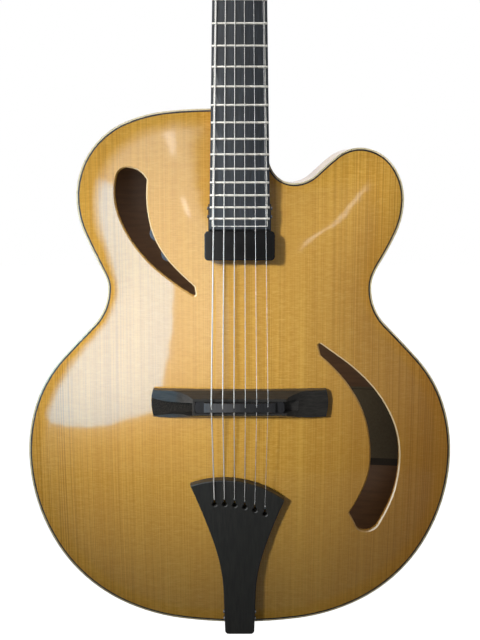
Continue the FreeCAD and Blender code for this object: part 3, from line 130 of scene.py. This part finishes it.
class Paint:
    """One procedural material, with short names for the nodes that it needs."""

    def __init__(self, name, **sockets):
        self.material = bpy.data.materials.new(name)
        self.material.use_nodes = True
        self.nodes = self.material.node_tree.nodes
        self.links = self.material.node_tree.links
        self.shader = self.nodes["Principled BSDF"]
        where = self.nodes.new("ShaderNodeTexCoord")
        self.coords = where.outputs["Object"]
        self.facing = where.outputs["Normal"]
        for socket, value in sockets.items():
            self.set(socket.replace("_", " "), value)

    def feed(self, socket, value):
        if isinstance(value, bpy.types.NodeSocket):
            self.links.new(value, socket)
        else:
            socket.default_value = value

    def set(self, socket, value):
        self.feed(self.shader.inputs[socket], value)

    def node(self, kind, inputs, **settings):
        node = self.nodes.new(kind)
        for key, value in settings.items():
            setattr(node, key, value)
        for key, value in inputs.items():
            self.feed(node.inputs[key], value)
        return node

    def axes(self, vector):
        return self.node("ShaderNodeSeparateXYZ", {0: vector}).outputs

    def noise(self, stretch, detail=2.0, roughness=0.5, shift=0.0, distortion=0.0):
        """Noise with so many features in a metre along x, y and z."""
        place = {"Vector": self.coords, "Scale": stretch, "Location": (shift, shift, shift)}
        inputs = {
            "Vector": self.node("ShaderNodeMapping", place).outputs[0], "Scale": 1.0,
            "Detail": detail, "Roughness": roughness, "Distortion": distortion,
        }
        return self.node("ShaderNodeTexNoise", inputs).outputs["Fac"]

    def math(self, operation, a, b=0.0):
        return self.node("ShaderNodeMath", {0: a, 1: b}, operation=operation).outputs[0]

    def span(self, value, low, high, start=0.0, end=1.0):
        """Straight step from start to end while the value goes from low to high."""
        inputs = {"Value": value, "From Min": low, "From Max": high, "To Min": start, "To Max": end}
        return self.node("ShaderNodeMapRange", inputs).outputs[0]

    def mix(self, share, a, b):
        return self.node("ShaderNodeMix", {0: share, 6: a, 7: b}, data_type="RGBA").outputs[2]

    def bump(self, height, depth, strength):
        inputs = {"Height": height, "Distance": depth, "Strength": strength}
        self.set("Normal", self.node("ShaderNodeBump", inputs).outputs[0])

    def colour(self, value):
        self.set("Base Color", value)


def rgb(red, green, blue):
    """Colour as it looks on a screen, 0 to 255, as linear light."""
    def linear(level):
        share = level / 255
        return share / 12.92 if share <= 0.04045 else ((share + 0.055) / 1.055) ** 2.4
    return (linear(red), linear(green), linear(blue), 1.0)


# Materials

def spruce():
    """Fine grain up the neck, wider at the sides, crossed by silk, under a lacquer that thins at the edge.

    The bevels of the sound holes that face left carry a painted highlight, pale as if lit from the left,
    and painted shade turns the wood browner towards the lower treble side.
    """
    paint = Paint("spruce_top", Specular_IOR_Level=0.0, Coat_Roughness=0.07, Coat_IOR=1.7)
    rings = paint.noise((760, 40, 2.0), roughness=0.6)
    streaks = paint.noise((120, 12, 1.0), detail=3.0, roughness=0.55, shift=3.0)
    silk = paint.noise((130, 60, 950), detail=3.0, roughness=0.65, shift=7.0, distortion=0.8)
    winters = paint.noise((1000, 20, 1.0), detail=1.0, shift=9.0)
    cloud = paint.noise((12, 12, 7), shift=11.0)
    wood = paint.mix(paint.span(rings, 0.34, 0.66), rgb(209, 157, 64), rgb(227, 177, 80))
    wood = paint.mix(paint.span(streaks, 0.56, 0.78, 0.0, 0.16), wood, rgb(188, 130, 56))
    wood = paint.mix(paint.span(silk, 0.48, 0.72, 0.0, 0.5), wood, rgb(240, 198, 106))
    wood = paint.mix(paint.span(silk, 0.48, 0.28, 0.0, 0.4), wood, rgb(192, 138, 52))
    wood = paint.mix(paint.span(cloud, 0.35, 0.7, 0.0, 0.2), wood, rgb(216, 156, 70))
    at = paint.axes(paint.coords)
    side = paint.span(paint.math("ABSOLUTE", at["X"]), *WIDE_GRAIN, 0.05, 0.5)
    lines = paint.math("MULTIPLY", paint.span(winters, 0.5, 0.36), side)
    wood = paint.mix(lines, wood, rgb(150, 98, 40))
    # Painted shade: the wood turns browner towards the lower treble side, where the light falls off
    treble = paint.span(at["X"], *SHADE_ACROSS, 0.0, 0.45)
    low = paint.span(at["Z"], *SHADE_UP)
    wood = paint.mix(paint.math("MULTIPLY", treble, low), wood, rgb(190, 122, 56))
    # Painted highlight: the bevels of the sound holes that face left are coloured pale, as if lit from the
    # left
    facing = paint.axes(paint.facing)
    bevel = paint.span(facing["Y"], *BEVEL_FRONT)
    bevel = paint.math("MULTIPLY", bevel, paint.span(facing["Y"], *BEVEL_SIDE))
    bevel = paint.math("MULTIPLY", bevel, paint.span(facing["X"], *BEVEL_LEFT, 0.15, 1.0))
    paint.colour(paint.mix(bevel, wood, rgb(244, 220, 172)))
    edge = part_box("top_purfling")[0].y
    paint.set("Coat Weight", paint.span(at["Y"], *(edge - rise for rise in EDGE_RISES)))
    paint.bump(rings, 0.00001, 0.12)
    return paint.material


def figured_maple(name, inside=False):
    """Flamed wood; the back's inner face is coloured dark brown as painted shade, for the inside of the
    body lies in shade.
    """
    paint = Paint(name, Roughness=0.4, Coat_Weight=MAPLE_LACQUER, Coat_Roughness=0.05, Coat_IOR=1.5)
    flame = paint.noise((16, 14, 105), roughness=0.45, distortion=0.5)
    fibre = paint.noise((420, 420, 18), detail=3.0, roughness=0.6, shift=2.0)
    cloud = paint.noise((7, 7, 4), shift=5.0)
    wood = paint.mix(paint.span(flame, 0.34, 0.66), rgb(168, 112, 50), rgb(224, 174, 94))
    wood = paint.mix(paint.span(fibre, 0.45, 0.75, 0.0, 0.3), wood, rgb(150, 96, 42))
    wood = paint.mix(paint.span(cloud, 0.35, 0.7, 0.0, 0.25), wood, rgb(206, 150, 74))
    if inside:
        # Painted shade: the back's inner face is coloured dark brown, as the inside of the body lies in
        # shade
        front = paint.span(paint.axes(paint.facing)["Y"], 0.0, -0.5)
        across = paint.noise((30, 30, 260), detail=3.0, roughness=0.6, shift=8.0)
        inside_shade = paint.mix(paint.span(across, 0.35, 0.65), rgb(98, 68, 39), rgb(112, 79, 47))
        wood = paint.mix(front, wood, inside_shade)
        paint.set("Coat Weight", paint.span(front, 0.0, 1.0, MAPLE_LACQUER, 0.0))
    paint.colour(wood)
    return paint.material


def inner_wood():
    # Wood inside the body: its brown made darker than raw wood as painted shade, since the inside lies in
    # shade
    paint = Paint("inner_wood", Roughness=0.7)
    fibre = paint.noise((300, 300, 12), detail=3.0, roughness=0.6)
    paint.colour(paint.mix(paint.span(fibre, 0.3, 0.7), rgb(94, 65, 38), rgb(116, 82, 50)))
    return paint.material


def binding():
    paint = Paint("maple_binding", Roughness=0.4, Coat_Weight=1.0, Coat_Roughness=0.05)
    fibre = paint.noise((300, 300, 300), detail=3.0)
    paint.colour(paint.mix(paint.span(fibre, 0.3, 0.7), rgb(214, 200, 156), rgb(234, 222, 184)))
    return paint.material


def ebony(name, dark, pale, roughness, pore=0.25, grain=ALONG_NECK):
    """Charcoal wood with fine pores along its grain, as a paint that can be added to."""
    paint = Paint(name, Roughness=roughness)
    fibre = paint.noise(grain, detail=4.0, roughness=0.65)
    cloud = paint.noise((26, 26, 7), shift=4.0)
    wood = paint.mix(paint.span(fibre, 0.36, 0.7), dark, pale)
    wood = paint.mix(paint.span(cloud, 0.35, 0.7, 0.0, 0.3), wood, dark)
    paint.colour(wood)
    paint.bump(fibre, 0.0001, pore)
    return paint


def bridge_wood():
    """Polished wood, except the flat on the bass wing, which is left rough and speckled."""
    paint = ebony("bridge_wood", rgb(44, 43, 41), rgb(64, 62, 59), BRIDGE_POLISH, 0.15, ALONG_BRIDGE)
    paint.set("Specular IOR Level", 0.25)
    polished = paint.shader.inputs["Base Color"].links[0].from_socket
    at = paint.axes(paint.coords)
    level = paint.math("ABSOLUTE", paint.math("SUBTRACT", at["Y"], SHELF_LEVEL))
    flat = paint.span(level, *SHELF_BAND)
    rough = paint.math("MULTIPLY", flat, paint.span(at["X"], *SHELF_END))
    speckle = paint.noise((900, 900, 900), roughness=0.7)
    sawn = paint.mix(paint.span(speckle, 0.42, 0.66), rgb(28, 26, 24), rgb(60, 55, 48))
    paint.colour(paint.mix(rough, polished, sawn))
    paint.set("Roughness", paint.span(rough, 0.0, 1.0, BRIDGE_POLISH, SAWN_ROUGHNESS))
    return paint.material


def paper():
    """Bare label with a thin printed frame and a dark foot."""
    paint = Paint("paper", Roughness=0.8)
    fibre = paint.noise((500, 500, 500), detail=3.0)
    sheet = paint.mix(paint.span(fibre, 0.35, 0.65), rgb(98, 87, 64), rgb(88, 78, 56))
    at = paint.axes(paint.coords)
    low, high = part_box("label")

    def room(axis, start, end):
        away = paint.math("ABSOLUTE", paint.math("SUBTRACT", at[axis], (start + end) / 2))
        return paint.math("SUBTRACT", (end - start) / 2, away)

    inset = paint.math("MINIMUM", room("X", low.x, high.x), room("Z", low.z, high.z))
    line = paint.math("ABSOLUTE", paint.math("SUBTRACT", inset, LABEL_FRAME))
    sheet = paint.mix(paint.span(line, *LABEL_LINE, 0.0, 0.8), sheet, rgb(52, 43, 30))
    foot = low.z + LABEL_FOOT
    sheet = paint.mix(paint.span(at["Z"], foot, foot - LABEL_SOFT), sheet, rgb(48, 40, 28))
    paint.colour(sheet)
    return paint.material


def wound_wire():
    """Pale wire with a winding that can be seen from near; pale like steel, but near-white and partly
    diffuse, a painted sheen in place of the metal's reflection.
    """
    paint = Paint("wound_string", Roughness=0.32, Metallic=0.35)
    turns = paint.noise((40, 40, 4200), detail=1.0)
    # Painted sheen: near-white and only partly metallic, in place of the bright reflection of steel
    paint.colour(paint.mix(paint.span(turns, 0.35, 0.65), rgb(206, 204, 199), rgb(234, 233, 229)))
    paint.bump(turns, 0.00006, 0.3)
    return paint.material


def plain(name, base, shade, roughness, metallic=0.0):
    """Even material with a faint mottle, dull in places."""
    paint = Paint(name, Metallic=metallic)
    mottle = paint.noise((MOTTLE, MOTTLE, MOTTLE), detail=3.0)
    paint.colour(paint.mix(paint.span(mottle, 0.35, 0.65), base, shade))
    wear = paint.noise((MOTTLE / 8, MOTTLE / 8, MOTTLE / 8), shift=6.0)
    paint.set("Roughness", paint.span(wear, 0.35, 0.7, roughness * 0.85, roughness * 1.25))
    return paint.material


def dress():
    """Material of every solid, by its node or by the slot that its node has in the record."""
    finishes = {
        "spruce_top": spruce(),
        "figured_maple": figured_maple("figured_maple"),
        "inner_wood": inner_wood(),
        "maple_binding": binding(),
        "black_purfling": plain("black_purfling", rgb(22, 18, 15), rgb(34, 28, 23), 0.35),
        "paper": paper(),
        "ebony": ebony("ebony", rgb(30, 30, 28), rgb(48, 47, 44), 0.38).material,
        "white_inlay": plain("white_inlay", rgb(250, 249, 244), rgb(240, 238, 230), 0.35),
        "fret_wire": plain("fret_wire", rgb(250, 246, 236), rgb(232, 228, 218), 0.3, metallic=0.5),
        "steel": plain("steel", rgb(130, 130, 132), rgb(112, 112, 114), 0.35, metallic=1.0),
        "nickel": plain("nickel", rgb(214, 212, 206), rgb(200, 198, 192), 0.18, metallic=1.0),
        "brass_bracket": plain("brass_bracket", rgb(44, 42, 40), rgb(56, 52, 48), 0.4, metallic=1.0),
        "black_cover": plain("black_cover", rgb(7, 7, 8), rgb(10, 10, 11), 0.1),
        "pickup_metal": plain("pickup_metal", rgb(24, 24, 25), rgb(34, 34, 35), 0.4, metallic=0.4),
        "coil": plain("coil", rgb(20, 18, 17), rgb(28, 24, 22), 0.5),
        "circuit_board": plain("circuit_board", rgb(36, 48, 38), rgb(44, 58, 46), 0.5),
        "button": ebony("button", rgb(20, 20, 21), rgb(34, 34, 35), 0.3).material,
        "wound_string": wound_wire(),
        # Painted sheen: the plain strings are pale steel made near-white and partly diffuse, in place of
        # the metal's reflection
        "plain_string": plain("plain_string", rgb(252, 252, 252), rgb(236, 236, 236), 0.25, metallic=0.35),
    }
    # Painted highlight: the black wheels are coloured a pale bluish grey, as the light on their glossy
    # rims looks in the shade of the hole
    wheel = plain("wheel", rgb(84, 95, 110), rgb(68, 78, 92), 0.35)
    own = {
        "back_plate": figured_maple("back_maple", inside=True),
        # Painted reflection: the fingerboard's dark wood is tinted bluish grey, as the pale light shows in
        # its satin face
        "fingerboard": ebony("board", rgb(28, 31, 35), rgb(56, 61, 68), 0.36, 0.4).material,
        "bridge_base": bridge_wood(),
        "bridge_saddle": ebony("saddle_wood", rgb(34, 35, 37), rgb(50, 50, 52), 0.2, 0.1).material,
        "volume_wheel": wheel,
        "tone_wheel": wheel,
    }
    for piece in frame["record"]["subparts"]:
        name = piece["node"]
        solid = frame["nodes"][name]
        solid.data.materials[0] = own.get(name, finishes[piece["material_slot"]])


# Stage

def area_light(name, place, wide, tall, brightness, colour=WHITE):
    """Flat light of an even brightness that looks along +Y and shows in shiny faces only."""
    light = bpy.data.lights.new(name, "AREA")
    light.shape = "RECTANGLE"
    light.size = wide
    light.size_y = tall
    light.color = colour
    light.energy = brightness * math.pi * wide * tall
    lamp = bpy.data.objects.new(name, light)
    lamp.location = place
    lamp.rotation_euler = (math.pi / 2, 0, 0)
    lamp.visible_camera = False
    lamp.visible_diffuse = False
    bpy.context.scene.collection.objects.link(lamp)
    return lamp


def pool(name, place, target, cone, radius, power):
    """Soft round pool of light whose lamp shiny faces don't show."""
    light = bpy.data.lights.new(name, "SPOT")
    light.spot_size = math.radians(cone)
    light.spot_blend = 1.0
    light.shadow_soft_size = radius
    light.energy = power * 4 * math.pi ** 2
    lamp = bpy.data.objects.new(name, light)
    lamp.location = place
    aim = Vector(target) - Vector(place)
    lamp.rotation_euler = aim.to_track_quat("-Z", "Y").to_euler()
    lamp.visible_camera = False
    lamp.visible_glossy = False
    bpy.context.scene.collection.objects.link(lamp)


def lights():
    """Lamp in the lacquer, window on the left, light back from inside the body, glints and pools."""
    across = Vector((math.cos(KEY_ROLL), 0, math.sin(KEY_ROLL)))
    upwards = Vector((-math.sin(KEY_ROLL), 0, math.cos(KEY_ROLL)))
    middle = Vector(KEY_CORNER) - across * KEY_WIDE / 2 + upwards * KEY_TALL / 2
    key = area_light("key", middle, KEY_WIDE, KEY_TALL, KEY_BRIGHTNESS, KEY_COLOUR)
    key.rotation_euler = (math.pi / 2, -KEY_ROLL, 0)
    window = area_light("window", *WINDOW)
    window.rotation_euler = (math.pi / 2, 0, -math.pi / 2)
    window.visible_diffuse = True
    inside = area_light("inside", *INSIDE)
    inside.visible_diffuse = True
    inside.visible_glossy = False
    for number, glint in enumerate(GLINTS, 1):
        area_light(f"glint_{number}", *glint)
    for number, values in enumerate(POOLS, 1):
        pool(f"pool_{number}", *values)


def ramp(tree, value, low, high, start, end):
    """Smooth step from start to end while the value goes from low to high."""
    step = tree.nodes.new("ShaderNodeMapRange")
    step.interpolation_type = "SMOOTHSTEP"
    limits = {"From Min": low, "From Max": high, "To Min": start, "To Max": end}
    for name, limit in limits.items():
        step.inputs[name].default_value = limit
    tree.links.new(value, step.inputs["Value"])
    return step.outputs[0]


def combine(tree, operation, first, second):
    node = tree.nodes.new("ShaderNodeMath")
    node.operation = operation
    tree.links.new(first, node.inputs[0])
    tree.links.new(second, node.inputs[1])
    return node.outputs[0]


def choose(tree, switch, off, on):
    """The value off where the switch is 0, and on where it is 1."""
    mix = tree.nodes.new("ShaderNodeMix")
    for number, value in ((0, switch), (2, off), (3, on)):
        if isinstance(value, float):
            mix.inputs[number].default_value = value
        else:
            tree.links.new(value, mix.inputs[number])
    return mix.outputs[0]


def as_seen(tree, depth, light, shown):
    """What the camera, glass and shiny faces see of the backdrop, and the light elsewhere.

    Shiny faces see the backdrop behind the object, and the dim room in front of it.
    """
    path = tree.nodes.new("ShaderNodeLightPath")
    behind = ramp(tree, depth, *BACKDROP_WAY, 0.0, 1.0)
    seen = combine(tree, "MULTIPLY", path.outputs["Is Glossy Ray"], behind)
    for ray in ("Is Camera Ray", "Is Transmission Ray"):
        seen = combine(tree, "MAXIMUM", seen, path.outputs[ray])
    return choose(tree, seen, light, shown)


def world():
    """Dim room with a pale wall up left, and plain white behind the object."""
    room = bpy.data.worlds.new("studio")
    bpy.context.scene.world = room
    room.use_nodes = True
    tree = room.node_tree
    way = tree.nodes.new("ShaderNodeTexCoord")
    split = tree.nodes.new("ShaderNodeSeparateXYZ")
    tree.links.new(way.outputs["Generated"], split.inputs[0])
    above = ramp(tree, split.outputs["Z"], *ROOM_HIGH_WAY, ROOM_LOW, ROOM_HIGH)
    back = ramp(tree, split.outputs["Y"], *ROOM_BEHIND_WAY, 0.0, ROOM_BEHIND)
    soft = combine(tree, "ADD", above, back)
    across = ramp(tree, split.outputs["X"], *GLOSS_ACROSS, GLOSS_LEFT, GLOSS_RIGHT)
    upwards = ramp(tree, split.outputs["Z"], *GLOSS_UP, GLOSS_LOW, 1.0)
    gloss = combine(tree, "MULTIPLY", across, upwards)
    path = tree.nodes.new("ShaderNodeLightPath")
    light = choose(tree, path.outputs["Is Glossy Ray"], soft, gloss)
    level = as_seen(tree, split.outputs["Y"], light, 1.0)
    tree.links.new(level, tree.nodes["Background"].inputs["Strength"])
    tree.nodes["Background"].inputs["Color"].default_value = (*WHITE, 1.0)


def floor():
    """Pale floor that glows white far away and keeps the shadow of the object near it."""
    mesh = bpy.data.meshes.new("floor")
    reach = FLOOR_REACH
    sides = ((-reach, FLOOR_FRONT), (reach, FLOOR_FRONT), (reach, reach), (-reach, reach))
    corners = [(x, y, FLOOR_LEVEL) for x, y in sides]
    mesh.from_pydata(corners, [], [(0, 1, 2, 3)])
    piece = bpy.data.objects.new("floor", mesh)
    bpy.context.scene.collection.objects.link(piece)
    paint = Paint("floor", Roughness=0.9, Specular_IOR_Level=0.0, Emission_Color=(*WHITE, 1.0))
    paint.colour(rgb(*FLOOR_COLOUR))
    tree = paint.material.node_tree
    away = paint.node("ShaderNodeVectorMath", {0: paint.coords}, operation="LENGTH").outputs["Value"]
    shown = ramp(tree, away, FLOOR_NEAR, FLOOR_FAR, FLOOR_SHADE, 1.0)
    paint.set("Emission Strength", as_seen(tree, paint.axes(paint.coords)["Y"], 0.0, shown))
    mesh.materials.append(paint.material)


def camera():
    lens = bpy.data.cameras.new("camera")
    lens.lens = CAMERA_LENS
    lens.sensor_width = CAMERA_SENSOR
    eye = bpy.data.objects.new("camera", lens)
    eye.location = CAMERA_PLACE
    eye.rotation_euler = (CAMERA_TILT, 0, 0)
    bpy.context.scene.collection.objects.link(eye)
    bpy.context.scene.camera = eye


camera()
world()
floor()
lights()
dress()
bpy.context.scene.view_settings.view_transform = "Standard"
